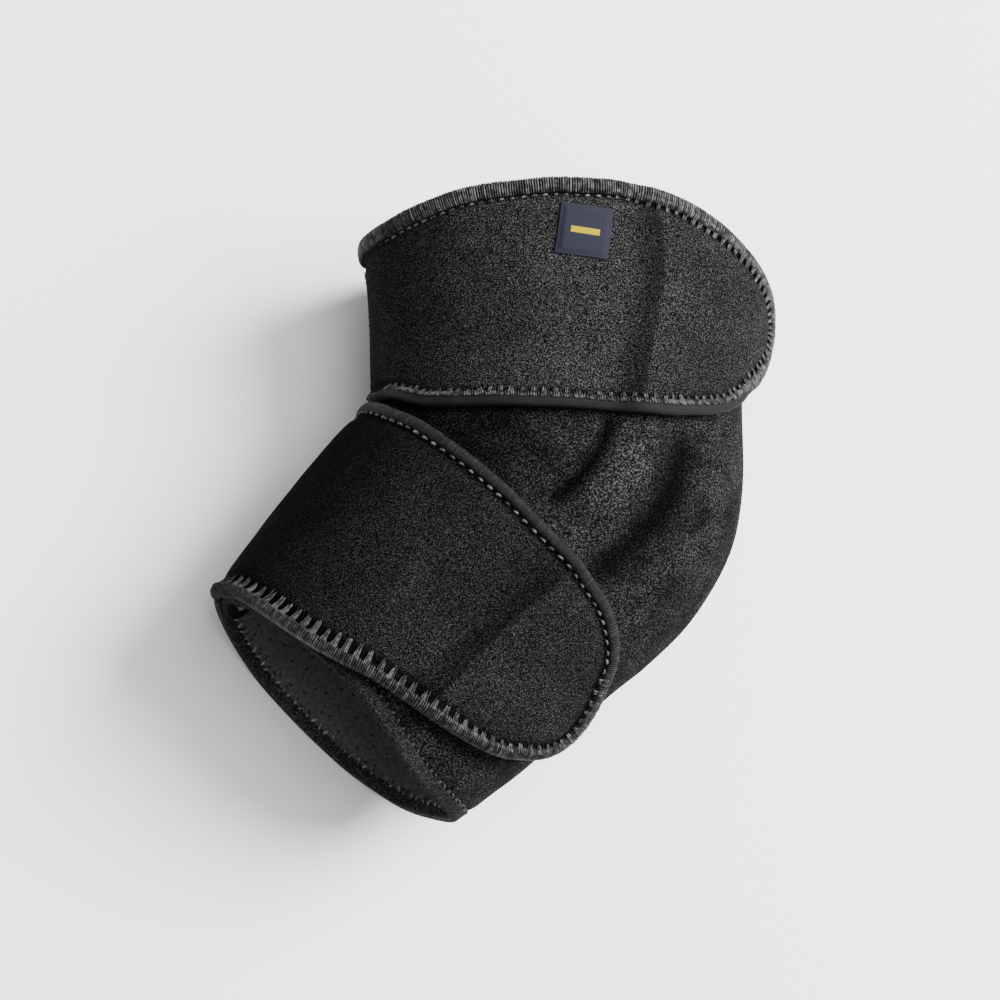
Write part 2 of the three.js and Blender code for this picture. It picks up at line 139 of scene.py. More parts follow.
# The panel's top edge above the bend, as a share of UPPER_LENGTH
TOP_RIM = table("turn share", [
    (FLAP_TURN, 0.76),
    (50, 0.8),
    (110, 0.9),
    (150, 0.78),
    (195, 0.62),
    (240, 0.72),
    (290, 0.84),
    (SEAM_TURN, 0.78),
])

# The panel's bottom edge beyond the cuff's plane, as a share of FOREARM_LENGTH
BOTTOM_RIM = table("turn share", [
    (FLAP_TURN, 0),
    (30, 0),
    (100, -0.027),
    (150, 0.028),
    (205, -0.025),
    (245, 0.03),
    (290, 0.06),
    (SEAM_TURN, 0),
])

# By share of the strap's turn: its top edge above the bend as a share of UPPER_LENGTH, and its
# bottom edge below the bend's start as a share of ELBOW_LENGTH
UPPER_EDGES = table("share top bottom", [
    (0.0, 0.78, 0.6),
    (0.05, 0.8, 0.64),
    (0.14, 0.826, 0.72),
    (0.2, 0.852, 0.76),
    (0.25, 0.884, 0.73),
    (0.3, 0.916, 0.58),
    (0.37, 0.96, 0.39),
    (0.455, 0.99, 0.28),
    (0.535, 1.01, 0.22),
    (0.61, 1.01, 0.19),
    (0.68, 0.987, 0.166),
    (0.74, 0.964, 0.152),
    (0.8, 0.934, 0.16),
    (0.86, 0.902, 0.168),
    (1.0, 0.862, 0.13),
])

# By share of the strap's turn: both edges below the bend's end, as shares of FOREARM_LENGTH
FOREARM_EDGES = table("share top bottom", [
    (0.0, 0.022, 1.0),
    (0.14, 0.024, 1.012),
    (0.22, 0.024, 0.998),
    (0.3, 0.014, 0.994),
    (0.38, 0.01, 0.989),
    (0.46, 0.004, 0.972),
    (0.525, 0.002, 0.943),
    (0.585, 0.008, 0.908),
    (0.65, 0.012, 0.881),
    (0.715, 0.012, 0.862),
    (0.8, -0.004, 0.849),
    (0.89, 0.006, 0.844),
    (0.95, 0.07, 0.82),
    (1.0, 0.098, 0.828),
])

# Folds: the line's ends as turn and share of ELBOW_LENGTH, then shares of WALL
Fold = namedtuple("Fold", "from_turn from_share to_turn to_share half_width height")
CHANNEL = Fold(125, -0.05, 121, 1.2, 2.9, 0.8)
FRONT_SEAM = Fold(113.5, 0.26, 107, 0.84, 0.8, -0.4)
ELBOW_DENT = Fold(139.5, 0.32, 134, 0.9, 2.2, -0.4)
CROOK_FOLD = Fold(84, 0.48, 103, 0.6, 1.3, 0.22)
FOLDS = [CHANNEL, FRONT_SEAM, ELBOW_DENT, CROOK_FOLD]
FOLD_REACH = 3  # half widths

# Ripples: length and height in millimetres, the way they run in degrees, phase in radians
Ripple = namedtuple("Ripple", "length heading phase height")
RIPPLES = [
    Ripple(31, 20, 0.4, 0.1),
    Ripple(23, 75, 2.0, 0.08),
    Ripple(17, 130, 1.1, 0.07),
    Ripple(12, 50, 3.9, 0.04),
]
RIPPLE_FADE = 30  # degrees of turn in which they die out towards the flap and LAP_END

# Edging
CORE_WIDTH = 0.98  # share of the edging that its core takes up
CORE_HEIGHT = 0.95
HEM_POWER = 0.45  # 1 makes an ellipse of the section, 0 a box
EDGING_POWER = 0.72
CORE_STEP = 1.1
CORE_SIDES = 24
TUCK = 1.3  # how far the cloth runs under its edging
DENT = 0.8  # how deep the cloth is pressed along its edging
DENT_WIDTH = 2.2

# Stitching, in millimetres
WRAP_PITCH = 0.73
WRAP_START = 157  # degrees round the edging's section, 0 at the cut edge and 90 on top
WRAP_END = 104  # where a short wrap ends
WRAP_LONG = 170  # how much further round a whole one goes
HEM_STITCH = 2.8
SEAM_STITCH = 2.6
UPPER_PITCH = 3.2
FOREARM_PITCH = 3.6
FEW_SIDES = 5  # of threads that lie close together
MORE_SIDES = 6  # of stitches that stand alone

# Painted shade and painted light: shares by which a tone is dimmed or lifted, and the lengths or turns
# in which they fade
HEM_SHADE = 0.5
# painted shade that darkens the panel towards the crook side, away from the light
CROOK_SHADE = 0.4
CROOK_SHADE_END = 75
CROOK_SHADE_FADE = 45
GROOVE_SHADE = 0.88
SEAM_LINE_SHADE = 0.6
SEAM_LINE = 3  # how many times narrower than the seam's groove
CHANNEL_LIGHT = 0.4
TEETH_SHADE = 0.7
TEETH_SHARE = 0.6  # of the teeth's length that lies in the shade
TEETH_MARGIN = 1.2
TEETH_FADE = 2
CLIMB_SHADE = 0.5
CLIMB_REACH = 1.6  # times HOOK_STEP
TAB_LIGHT = 0.12
TAB_FADE = 1.2
UNDER_TURN = 180  # from here on painted light lifts a hem's underside, which lies in shade
UNDER_FADE = 40

# By share of the strap's edge, from the seam's bottom round the tab to its top: width of the
# edging, radius of the threads round it, how much of the whole way round they go, length of the
# teeth, radius of the needle stitches, tones of the threads round the edge and of the others. The
# tones also carry painted shade, darkest at the ends by the seam at the crook
STITCHING_COLUMNS = "share width wrap whole tooth needle wrap_tone tooth_tone"
UPPER_STITCHING = table(STITCHING_COLUMNS, [
    (0.0, 4.4, 0.12, 0, 0.3, 0, 0.5, 0.4),
    (0.05, 4.6, 0.25, 0, 1.1, 0, 0.8, 0.8),
    (0.4, 4.6, 0.27, 0, 1.4, 0, 0.9, 0.9),
    (0.46, 4.6, 0.27, 1, 2.6, 0, 0.8, 0.9),
    (0.58, 4.6, 0.27, 1, 2.2, 0, 1.0, 1.0),
    (0.68, 4.8, 0.28, 1, 1.6, 0, 1.0, 1.0),
    (0.73, 4.8, 0.28, 1, 0.2, 0.42, 1.05, 1.1),
    (0.92, 4.8, 0.27, 1, 0, 0.42, 0.85, 0.9),
    (0.95, 4.7, 0.27, 1, 0, 0, 0.8, 0.8),
    (1.0, 4.6, 0.27, 1, 0, 0, 0.5, 0.5),
])
FOREARM_STITCHING = table(STITCHING_COLUMNS, [
    (0.0, 2.6, 0.1, 1, 0.4, 0, 0.2, 0.2),
    (0.05, 3.0, 0.2, 1, 3.0, 0, 0.25, 0.35),
    (0.12, 3.3, 0.27, 1, 4.2, 0, 0.4, 0.7),
    (0.22, 3.3, 0.28, 1, 4.0, 0, 0.45, 0.8),
    (0.3, 3.4, 0.28, 1, 2.6, 0, 0.5, 0.8),
    (0.37, 3.8, 0.28, 1, 1.2, 0, 0.6, 0.8),
    (0.5, 3.8, 0.26, 1, 0.9, 0, 0.5, 0.9),
    (0.55, 3.6, 0.1, 1, 0.3, 0.45, 0.4, 1.0),
    (0.9, 3.6, 0.06, 1, 0, 0.48, 0.4, 1.1),
    (1.0, 3.6, 0.06, 1, 0, 0.4, 0.3, 0.3),
])

# Painted shade and painted light across a strap, by share of its turn: dark towards the crook side and
# lightest where the light falls most
UPPER_LIGHT_AND_SHADE = table("share tone", [
    (0, 0.5),
    (0.12, 0.6),
    (0.3, 1.0),
    (0.5, 1.3),
    (0.64, 1.2),
    (0.72, 0.85),
    (1, 0.85),
])
FOREARM_LIGHT_AND_SHADE = table("share tone", [
    (0, 0.03),
    (0.12, 0.06),
    (0.25, 0.25),
    (0.4, 0.5),
    (0.6, 0.68),
    (1, 0.75),
])


# The surface

def ease(x):
    x = np.clip(x, 0, 1)
    return x * x * (3 - 2 * x)


def read(columns, name, x):
    """A smooth curve through one column of a table that doesn't overshoot its rows."""
    xs = next(iter(columns.values()))
    ys = columns[name]
    h = np.diff(xs)
    slope = np.diff(ys) / h
    tangent = np.empty(len(xs))
    tangent[0], tangent[-1] = slope[0], slope[-1]
    for i in range(1, len(xs) - 1):
        before, after = slope[i - 1], slope[i]
        flat = before * after <= 0
        tangent[i] = 0 if flat else (h[i - 1] + h[i]) / (h[i] / before + h[i - 1] / after)
    x = np.clip(x, xs[0], xs[-1])
    i = np.clip(np.searchsorted(xs, x, "right") - 1, 0, len(h) - 1)
    u = (x - xs[i]) / h[i]
    ends = u * (1 - u) ** 2 * h[i] * tangent[i] + u * u * (u - 1) * h[i] * tangent[i + 1]
    return ys[i] + (ys[i + 1] - ys[i]) * u * u * (3 - 2 * u) + ends


def ripples(across, along):
    """Faint unevenness of soft cloth, the same in every layer."""
    height = 0
    for ripple in RIPPLES:
        way = math.radians(ripple.heading)
        place = across * math.cos(way) + along * math.sin(way)
        height = height + ripple.height * np.sin(2 * math.pi * place / ripple.length + ripple.phase)
    return height


def fold_gap(fold, turn, along):
    """Distance of places from a fold's line, in half widths of the fold."""
    start = np.array([fold.from_turn * TURN_LENGTH, fold.from_share * ELBOW_LENGTH])
    run = np.array([fold.to_turn * TURN_LENGTH, fold.to_share * ELBOW_LENGTH]) - start
    across = turn * TURN_LENGTH - start[0]
    down = along - start[1]
    share = np.clip((across * run[0] + down * run[1]) / (run @ run), 0, 1)
    return np.hypot(across - run[0] * share, down - run[1] * share) / (fold.half_width * WALL)


def fold_height(turn, along):
    """Height of the folds and ripples, which show through both layers."""
    turn = np.where(turn > LAP_END, turn - FULL_TURN, turn)
    height = np.zeros(np.broadcast(turn, along).shape)
    for fold in FOLDS:
        gap = fold_gap(fold, turn, along)
        height += np.where(gap < FOLD_REACH, fold.height * WALL * np.exp(-gap * gap), 0)
    calm = ease((turn - FLAP_TURN) / RIPPLE_FADE) * ease((LAP_END - turn) / RIPPLE_FADE)
    return height + calm * ripples(turn * TURN_LENGTH, along)


def layer_height(turn):
    """How far the wrap has climbed, one layer in each full turn."""
    def climb(t):
        return LAYER * ease((t - LAP_START) / (LAP_END - LAP_START))

    between_climbs = (LAP_END + FULL_TURN + LAP_START) / 2
    return np.where(turn < between_climbs, climb(turn), LAYER + climb(turn - FULL_TURN))


def settle(z):
    """Heights with all that would lie under the surface pressed flat."""
    blend = (z + FLAT_BLEND) ** 2 / (4 * FLAT_BLEND)
    return np.where(z <= -FLAT_BLEND, 0, np.where(z >= FLAT_BLEND, z, blend))


def skin(turn, along, lift):
    """Points on the cloth, lift above its inner face, in millimetres."""
    turn, along, lift = np.broadcast_arrays(
        np.asarray(turn, float), np.asarray(along, float), np.asarray(lift, float)
    )
    angle = np.radians(CROOK_SIDE - turn)
    a = read(SECTIONS, "width", along) * ELBOW_WIDTH / 2
    b = read(SECTIONS, "depth", along) * ELBOW_DEPTH / 2
    bend = math.radians(BEND) * np.clip(along / ELBOW_LENGTH, 0, 1)
    straight = along - np.clip(along, 0, ELBOW_LENGTH)
    ox, oz = np.cos(angle) / a, np.sin(angle) / b
    size = np.hypot(ox, oz)
    height = layer_height(turn) + fold_height(turn, along) + lift
    reach = CROOK_RADIUS + read(SECTIONS, "lean", along) + a
    side = reach + a * np.cos(angle) + ox / size * height
    z = LAYER + WALL - SINK + b + b * np.sin(angle) + oz / size * height
    z = np.where(np.sin(angle) < 0, settle(z - WALL + lift) + WALL - lift, z)
    x = np.cos(bend) * side - np.sin(bend) * straight
    y = -np.sin(bend) * side - np.cos(bend) * straight
    return np.stack([x, y, np.maximum(z, 0)], -1) - CENTRE


def unit(v):
    return v / np.linalg.norm(v, axis=-1, keepdims=True)


def tangents(turn, along):
    """Change of the cloth's middle for each degree of turn and each millimetre along."""
    small = 0.02
    middle = WALL / 2
    at = skin(turn, along, middle)
    by_turn = (skin(turn + small, along, middle) - at) / small
    by_along = (skin(turn, along + small, middle) - at) / small
    return by_turn, by_along


def outward(turn, along):
    by_turn, by_along = tangents(turn, along)
    return unit(np.cross(by_along, by_turn))


def rates(turn, along, direction):
    """Change of turn and along for each millimetre gone over the cloth in a direction."""
    bt, ba = tangents(turn, along)
    tt, aa, ta = (bt * bt).sum(-1), (ba * ba).sum(-1), (bt * ba).sum(-1)
    dt, da = (direction * bt).sum(-1), (direction * ba).sum(-1)
    size = tt * aa - ta * ta
    return (dt * aa - da * ta) / size, (da * tt - dt * ta) / size


def walk(turn, along, direction, distances):
    """Places reached by going real distances over the cloth, along space vectors."""
    step = 0.03
    rounding = 1e-9
    places = {0.0: (turn, along)}
    gone = 0.0
    for distance in sorted(d for d in distances if d > 0):
        while gone < distance - rounding:
            now = min(step, distance - gone)
            by_turn, by_along = rates(turn, along, direction)
            turn = turn + by_turn * now
            along = along + by_along * now
            gone += now
        places[distance] = (turn, along)
    return places


class Edge:
    """A free edge of the cloth, with places at real distances in from it."""

    DISTANCES = np.array([0.0, 1.0, 2.0, 3.0, 4.0, 5.0, 6.0, 7.5, 9.0, 11.0])

    def __init__(self, turn, along, side_points):
        points = skin(turn, along, WALL / 2)
        run = np.concatenate([[0], np.cumsum(np.linalg.norm(np.diff(points, axis=0), axis=1))])
        self.sides = run[:side_points], run[::-1][:side_points]
        self.length = run[-1]
        self.at = np.linspace(0, run[-1], int(round(run[-1])) + 1)
        turn = np.interp(self.at, run, turn)
        along = np.interp(self.at, run, along)
        self.points = skin(turn, along, WALL / 2)
        direction = np.gradient(self.points, axis=0)
        inward = unit(np.cross(outward(turn, along), direction))
        places = walk(turn, along, inward, self.DISTANCES)
        self.turn = np.array([places[d][0] for d in self.DISTANCES])
        self.along = np.array([places[d][1] for d in self.DISTANCES])
        ends = [0, -1]
        self.turn[:, ends] = self.turn[0, ends]

    def place(self, run, distance):
        """(turn, along) at lengths of run along the edge and distances in from it."""
        run, distance = np.broadcast_arrays(run, distance)
        s = np.clip(run / self.length, 0, 1) * (len(self.at) - 1)
        i = np.clip(s.astype(int), 0, len(self.at) - 2)
        d = np.interp(distance, self.DISTANCES, np.arange(len(self.DISTANCES)))
        j = np.clip(d.astype(int), 0, len(self.DISTANCES) - 2)
        u, v = s - i, d - j

        def mix(t):
            near = t[j, i] * (1 - u) + t[j, i + 1] * u
            far = t[j + 1, i] * (1 - u) + t[j + 1, i + 1] * u
            return near * (1 - v) + far * v

        return mix(self.turn), mix(self.along)

    def point(self, run, distance, high, lift):
        """Points in space, high above the cloth's inner face as lift raises it."""
        turn, along = self.place(run, distance)
        return skin(turn, along, lift(turn, along) + high)

    def heading(self, run, distance, lift):
        """The way that the edge runs on top of the cloth."""
        reach = 0.4
        ahead = self.point(run + reach, distance, WALL, lift)
        return unit(ahead - self.point(run - reach, distance, WALL, lift))

    def gap(self, turn, along):
        """Distance of places from the edge, and the run at its nearest point."""
        batch = 2000
        points = skin(turn, along, WALL / 2).reshape(-1, 3)
        gaps, runs = [], []
        for part in np.array_split(points, 1 + len(points) // batch):
            apart = ((part[:, None] - self.points[None]) ** 2).sum(-1)
            gaps.append(np.sqrt(apart.min(1)))
            runs.append(self.at[apart.argmin(1)])
        return np.concatenate(gaps).reshape(turn.shape), np.concatenate(runs).reshape(turn.shape)

    def columns(self, distance, rows, line=None):
        """A grid of places across the cloth, a distance in from its edge. With a line, a turn
        for each place along the arm, it begins there."""
        ends = []
        for side in self.sides:
            turn, along = self.place(side, distance)
            if line:
                first = int(np.argmax(turn > line(along)))
                reach = np.sin(np.linspace(0, math.pi / 2, HOOK_STEPS))
                turn, along = self.place(side[first] + (side[-1] - side[first]) * reach, distance)
            ends.append((turn, along))
        share = np.linspace(0, 1, rows)
        grid = [a[:, None] + (b - a)[:, None] * share for a, b in zip(*ends)]
        if grid[1][0, 0] > grid[1][0, -1]:
            grid = [g[:, ::-1] for g in grid]
        if grid[0][0, 0] > grid[0][-1, 0]:
            grid = [g[::-1] for g in grid]
        return grid


# Meshes

def new_object(name, points, faces, materials):
    """A smooth-shaded mesh in the scene, from points in millimetres."""
    mesh = bpy.data.meshes.new(name)
    mesh.from_pydata((points.reshape(-1, 3) * MM).tolist(), [], faces)
    for material in materials:
        mesh.materials.append(material)
    mesh.polygons.foreach_set("use_smooth", np.full(len(mesh.polygons), True))
    mesh.update()
    obj = bpy.data.objects.new(name, mesh)
    bpy.context.scene.collection.objects.link(obj)
    return obj


def set_shade(obj, tone):
    """Stores how much each point's colour is dimmed or lifted: painted shade and painted light, and
    each thread's own tone.
    """
    tint = obj.data.color_attributes.new("shade", "FLOAT_COLOR", "POINT")
    tint.data.foreach_set("color", np.repeat(tone, 4).astype(np.float32))


def wall(name, turn, along, inner_lift, outer_lift, materials, uv):
    """A wall of cloth over a grid of places. The first material is outside, the second inside."""
    sharp_angle = 50
    inner = skin(turn, along, inner_lift)
    outer = skin(turn, along, outer_lift)
    points = np.concatenate([outer.reshape(-1, 3), inner.reshape(-1, 3)])
    index = np.arange(turn.size).reshape(turn.shape)
    a, b = index[:-1, :-1].ravel(), index[:-1, 1:].ravel()
    c, d = index[1:, 1:].ravel(), index[1:, :-1].ravel()
    top = np.stack([a, b, c, d], 1)
    base = np.stack([a, d, c, b], 1) + turn.size
    ring = np.concatenate([index[:, 0], index[-1, 1:], index[-2::-1, -1], index[0, -2:0:-1]])
    following = np.roll(ring, -1)
    rim = np.stack([ring, following, following + turn.size, ring + turn.size], 1)
    obj = new_object(name, points, np.concatenate([top, base, rim]).tolist(), materials)
    mesh = obj.data
    slots = np.concatenate([np.zeros(len(top)), np.ones(len(base)), np.zeros(len(rim))])
    mesh.polygons.foreach_set("material_index", slots.astype(np.int32))
    corners = np.empty(len(mesh.loops), np.int32)
    mesh.loops.foreach_get("vertex_index", corners)
    layer = mesh.uv_layers.new(name="cloth")
    flat = np.concatenate([uv, uv]).astype(np.float32)
    layer.data.foreach_set("uv", (flat[corners] * MM).ravel())
    mesh.validate()
    mesh.set_sharp_from_angle(angle=math.radians(sharp_angle))
    return obj


def threads(name, paths, side, radius, tone, sides):
    """Round threads along paths (thread, point, xyz). side is a direction across each path."""
    count, length, _ = paths.shape
    tangent = unit(np.gradient(paths, axis=1))
    across = unit(side - (side * tangent).sum(-1, keepdims=True) * tangent)
    up = np.cross(tangent, across)
    radius = np.broadcast_to(radius, (count, length))
    turn = (np.arange(sides) * 2 * math.pi / sides)[:, None]
    ring = across[:, :, None] * np.cos(turn) + up[:, :, None] * np.sin(turn)
    points = paths[:, :, None] + ring * radius[:, :, None, None]
    points[..., 2] = np.maximum(points[..., 2], 0)
    index = np.arange(count * length * sides).reshape(count, length, sides)
    a, b = index[:, :-1], np.roll(index[:, :-1], -1, 2)
    c, d = index[:, 1:], np.roll(index[:, 1:], -1, 2)
    faces = np.stack([a, b, d, c], -1).reshape(-1, 4).tolist()
    faces += index[:, 0, ::-1].tolist() + index[:, -1].tolist()
    obj = new_object(name, points, faces, [THREAD])
    set_shade(obj, np.repeat(np.broadcast_to(tone, count), length * sides))
    return obj


# Materials

class Look:
    """The nodes of one material."""

    FACTOR, FIRST, SECOND = 0, 6, 7  # sockets of a Mix node that mixes colours
    MIXED = 2

    def __init__(self, name):
        self.material = bpy.data.materials.new(name)
        self.material.use_nodes = True
        self.nodes = self.material.node_tree.nodes
        self.links = self.material.node_tree.links
        self.shader = self.nodes["Principled BSDF"]

    def coordinates(self, kind):
        return self.nodes.new("ShaderNodeTexCoord").outputs[kind]

    def noise(self, scale, detail, roughness):
        node = self.nodes.new("ShaderNodeTexNoise")
        node.inputs["Scale"].default_value = scale
        node.inputs["Detail"].default_value = detail
        node.inputs["Roughness"].default_value = roughness
        self.links.new(self.coordinates("Object"), node.inputs["Vector"])
        return node.outputs["Fac"]

    def ramp(self, source, *stops):
        """Colours between stops, each a place and a colour or a grey."""
        node = self.nodes.new("ShaderNodeValToRGB")
        elements = node.color_ramp.elements
        while len(elements) < len(stops):
            elements.new(0.5)
        for element, (place, colour) in zip(elements, stops):
            element.position = place
            element.color = (*np.broadcast_to(colour, 3), 1)
        self.links.new(source, node.inputs["Fac"])
        return node.outputs["Color"]

    def multiply(self, first, second):
        node = self.nodes.new("ShaderNodeMix")
        node.data_type = "RGBA"
        node.blend_type = "MULTIPLY"
        node.inputs[self.FACTOR].default_value = 1
        self.links.new(first, node.inputs[self.FIRST])
        self.links.new(second, node.inputs[self.SECOND])
        return node.outputs[self.MIXED]

    def shaded(self, colour):
        """The colour, dimmed or lifted as the mesh's stored shade says at each point: painted shade
        and painted light, and each thread's own tone.
        """
        stored = self.nodes.new("ShaderNodeAttribute")
        stored.attribute_name = "shade"
        return self.multiply(colour, stored.outputs["Color"])

    def bump(self, height, distance, strength, under=None):
        node = self.nodes.new("ShaderNodeBump")
        node.inputs["Strength"].default_value = strength
        node.inputs["Distance"].default_value = distance
        self.links.new(height, node.inputs["Height"])
        if under:
            self.links.new(under, node.inputs["Normal"])
        self.links.new(node.outputs["Normal"], self.shader.inputs["Normal"])
        return node.outputs["Normal"]

    def finish(self, colour, roughness, specular):
        self.links.new(colour, self.shader.inputs["Base Color"])
        self.shader.inputs["Roughness"].default_value = roughness
        self.shader.inputs["Specular IOR Level"].default_value = specular
        return self.material


def loop_cloth(name, curl, patch, patch_tone, patch_end, dark, middle, light):
    """Brushed loop pile: tight curls with black gaps between them, in lighter and darker
    patches, with the mesh's painted shade and painted light on top, darker in seams and folds."""
    look = Look(name)
    curls = look.noise(curl, detail=3, roughness=0.7)
    colour = look.ramp(curls, (0.36, dark), (0.5, middle), (0.66, light))
    patches = look.ramp(look.noise(patch, detail=4, roughness=0.6), (0.3, patch_tone), (patch_end, 1))
    look.bump(curls, distance=0.6 / curl, strength=0.9)
    return look.finish(look.shaded(look.multiply(colour, patches)), roughness=0.95, specular=0.02)


def lining():
    """Smooth skin of the neoprene's inside, with small breathing holes."""
    look = Look("lining")
    cells = look.nodes.new("ShaderNodeTexVoronoi")
    cells.voronoi_dimensions = "2D"
    cells.inputs["Scale"].default_value = 190
    cells.inputs["Randomness"].default_value = 0.6
    look.links.new(look.coordinates("UV"), cells.inputs["Vector"])
    holes = look.ramp(cells.outputs["Distance"], (0.06, 0.15), (0.11, 1))
    weave = look.noise(900, detail=2, roughness=0.5)
    base = look.ramp(weave, (0.35, (0.042, 0.042, 0.048)), (0.7, (0.085, 0.085, 0.095)))
    fine = look.bump(weave, distance=0.0001, strength=0.5)
    look.bump(holes, distance=0.0003, strength=0.8, under=fine)
    return look.finish(look.multiply(base, holes), roughness=0.55, specular=0.3)


def edge_core():
    """Fine flat knit, which shows where no threads cover an edge."""
    look = Look("edge_core")
    knit = look.noise(2300, detail=2, roughness=0.6)
    patches = look.noise(180, detail=2, roughness=0.6)
    colour = look.ramp(knit, (0.3, (0.0008, 0.0008, 0.0008)), (0.7, (0.0055, 0.0055, 0.0058)))
    patched = look.ramp(patches, (0.35, 0.55), (0.65, 1))
    fine = look.bump(knit, distance=0.0002, strength=0.7)
    look.bump(patches, distance=0.0008, strength=0.5, under=fine)
    return look.finish(look.multiply(colour, patched), roughness=0.8, specular=0.2)


def overlock_thread():
    """Filament thread: a soft gloss along the fibres, each stitch a little lighter or darker, and
    painted shade as the mesh stores it.
    """
    look = Look("overlock_thread")
    stitches = look.noise(620, detail=1, roughness=0.5)
    colour = look.ramp(stitches, (0.4, (0.012, 0.012, 0.0122)), (0.6, (0.07, 0.07, 0.071)))
    fibres = look.noise(5200, detail=2, roughness=0.6)
    look.bump(fibres, distance=0.0001, strength=0.5)
    return look.finish(look.shaded(colour), roughness=0.55, specular=0.2)


def hook_tape():
    look = Look("hook_tape")
    hooks = look.noise(1700, detail=1, roughness=0.5)
    colour = look.ramp(hooks, (0.4, (0.003, 0.003, 0.004)), (0.65, (0.03, 0.03, 0.032)))
    look.bump(hooks, distance=0.0006, strength=1)
    return look.finish(colour, roughness=0.6, specular=0.5)


def woven_label():
    """Satin weave in slate, with one plain bar woven in. UV runs in metres from the middle."""
    look = Look("woven_label")
    where = look.coordinates("UV")
    split = look.nodes.new("ShaderNodeSeparateXYZ")
    look.links.new(where, split.inputs["Vector"])

    def band(axis, middle, half):
        node = look.nodes.new("ShaderNodeMath")
        node.operation = "COMPARE"
        node.inputs[1].default_value = middle
        node.inputs[2].default_value = half
        look.links.new(split.outputs[axis], node.inputs[0])
        return node.outputs[0]

    inside = look.nodes.new("ShaderNodeMath")
    inside.operation = "MULTIPLY"
    look.links.new(band("X", 0, 0.0042), inside.inputs[0])
    look.links.new(band("Y", 0.0002, 0.0009), inside.inputs[1])
    ribs = look.nodes.new("ShaderNodeTexWave")
    ribs.bands_direction = "Y"
    ribs.inputs["Scale"].default_value = 1400
    ribs.inputs["Distortion"].default_value = 0.6
    look.links.new(where, ribs.inputs["Vector"])
    slate = look.ramp(ribs.outputs["Fac"], (0.2, (0.009, 0.0095, 0.015)), (0.8, (0.021, 0.022, 0.034)))
    bar = look.nodes.new("ShaderNodeMix")
    bar.data_type = "RGBA"
    look.links.new(inside.outputs[0], bar.inputs[look.FACTOR])
    look.links.new(slate, bar.inputs[look.FIRST])
    bar.inputs[look.SECOND].default_value = (0.32, 0.25, 0.0, 1)
    look.bump(ribs.outputs["Fac"], distance=0.0001, strength=0.6)
    return look.finish(bar.outputs[look.MIXED], roughness=0.7, specular=0.1)


STRAP_CLOTH = loop_cloth(
    "strap_cloth", curl=2500, patch=45, patch_tone=0.62, patch_end=0.7,
    dark=(0.0001, 0.0001, 0.0001), middle=(0.0045, 0.0045, 0.0047), light=(0.07, 0.07, 0.0705),
)
PANEL_CLOTH = loop_cloth(
    "panel_cloth", curl=1900, patch=95, patch_tone=0.35, patch_end=0.6,
    dark=(0.0007, 0.0007, 0.0007), middle=(0.0046, 0.0046, 0.0048), light=(0.06, 0.06, 0.0605),
)
HEM = loop_cloth(
    "hem_cloth", curl=2300, patch=45, patch_tone=0.62, patch_end=0.7,
    dark=(0.0015, 0.0015, 0.0015), middle=(0.009, 0.009, 0.0094), light=(0.05, 0.05, 0.051),
)
LINING = lining()
CORE = edge_core()
THREAD = overlock_thread()
HOOK = hook_tape()
LABEL = woven_label()


# Outlines

def panel_edges():
    """Turn, top and bottom edge of the panel, from the seam to the flap's rounded corners."""
    corner = FLAP_CORNER / TURN_LENGTH
    angle = np.linspace(0, math.pi / 2, CORNER_STEPS)[1:]
    turn = np.concatenate([
        np.linspace(SEAM_TURN, FLAP_TURN + corner, PANEL_STEPS),
        FLAP_TURN + corner * (1 - np.sin(angle)),
    ])
    drop = np.concatenate([np.zeros(PANEL_STEPS), FLAP_CORNER * (1 - np.cos(angle))])
    top = -UPPER_LENGTH * read(TOP_RIM, "share", turn)
    bottom = CUFF + FOREARM_LENGTH * read(BOTTOM_RIM, "share", turn)
    return turn, top + drop, bottom - drop


def upper_edge_at(share):
    top = -UPPER_LENGTH * read(UPPER_EDGES, "top", share)
    return top, ELBOW_LENGTH * read(UPPER_EDGES, "bottom", share)


def forearm_edge_at(share):
    top = ELBOW_LENGTH + FOREARM_LENGTH * read(FOREARM_EDGES, "top", share)
    return top, ELBOW_LENGTH + FOREARM_LENGTH * read(FOREARM_EDGES, "bottom", share)


def strap_edges(turn_length, edge_at):
    """Turn, top and bottom edge of a strap, from the seam to the tip of its rounded tab."""
    share = np.concatenate([
        np.linspace(0, TAB_START, STRAP_STEPS, endpoint=False),
        TAB_START + (1 - TAB_START) * np.sin(np.linspace(0, math.pi / 2, TAB_STEPS)),
    ])
    top, bottom = edge_at(share)
    tab = np.clip((share - TAB_START) / (1 - TAB_START), 0, 1)
    half = (bottom - top) / 2 * np.sqrt(1 - tab * tab)
    turn = SEAM_TURN + turn_length * np.maximum(share, SEAM_GAP / TURN_LENGTH / turn_length)
    return turn, (top + bottom) / 2 - half, (top + bottom) / 2 + half


# Cloth and its edges

def no_lift(turn, _along):
    return np.zeros(np.shape(turn))


def hem_width(run):
    return np.full(run.shape, EDGING_WIDTH)


def oval(angle, width, tall, power, proud=0.0):
    """A rounded section: distance in from the edge and height, for an angle that is 0 at the
    cut edge, 90 on top and 180 on the side towards the cloth."""
    c, s = np.cos(np.radians(angle)), np.sin(np.radians(angle))
    across = np.sign(c) * np.abs(c) ** power * (width / 2 * CORE_WIDTH + proud)
    up = np.sign(s) * np.abs(s) ** power * (tall / 2 * CORE_HEIGHT + proud)
    return width / 2 - across, tall / 2 + up


